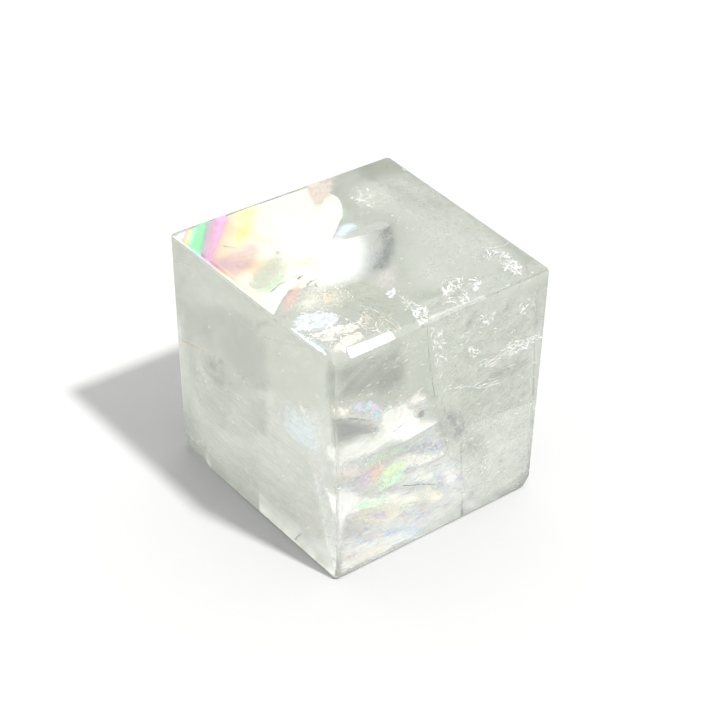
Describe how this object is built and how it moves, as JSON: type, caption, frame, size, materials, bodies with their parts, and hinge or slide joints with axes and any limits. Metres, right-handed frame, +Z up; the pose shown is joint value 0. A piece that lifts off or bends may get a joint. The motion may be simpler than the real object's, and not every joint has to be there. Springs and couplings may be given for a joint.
{
  "type": "polished calcite block",
  "caption": "Polished, nearly cubic block of clear calcite with rainbow fractures inside, standing on its flat ground base as a display piece or paperweight.",
  "frame": {"origin": "middle of the footprint on the plane that the base rests on", "axes": "+Z up out of the top face, -Y out of the front face, +X out of the right face"},
  "size_m": [0.0422, 0.0416, 0.0424],
  "materials": {
    "calcite": "polished clear stone, faintly grey-green, slightly cloudy",
    "fracture": "air-thin crack inside the stone, with mirror-like rainbow interference colours"
  },
  "bodies": {
    "root": {"calcite_crystal": "calcite"}
  },
  "joints": []
}
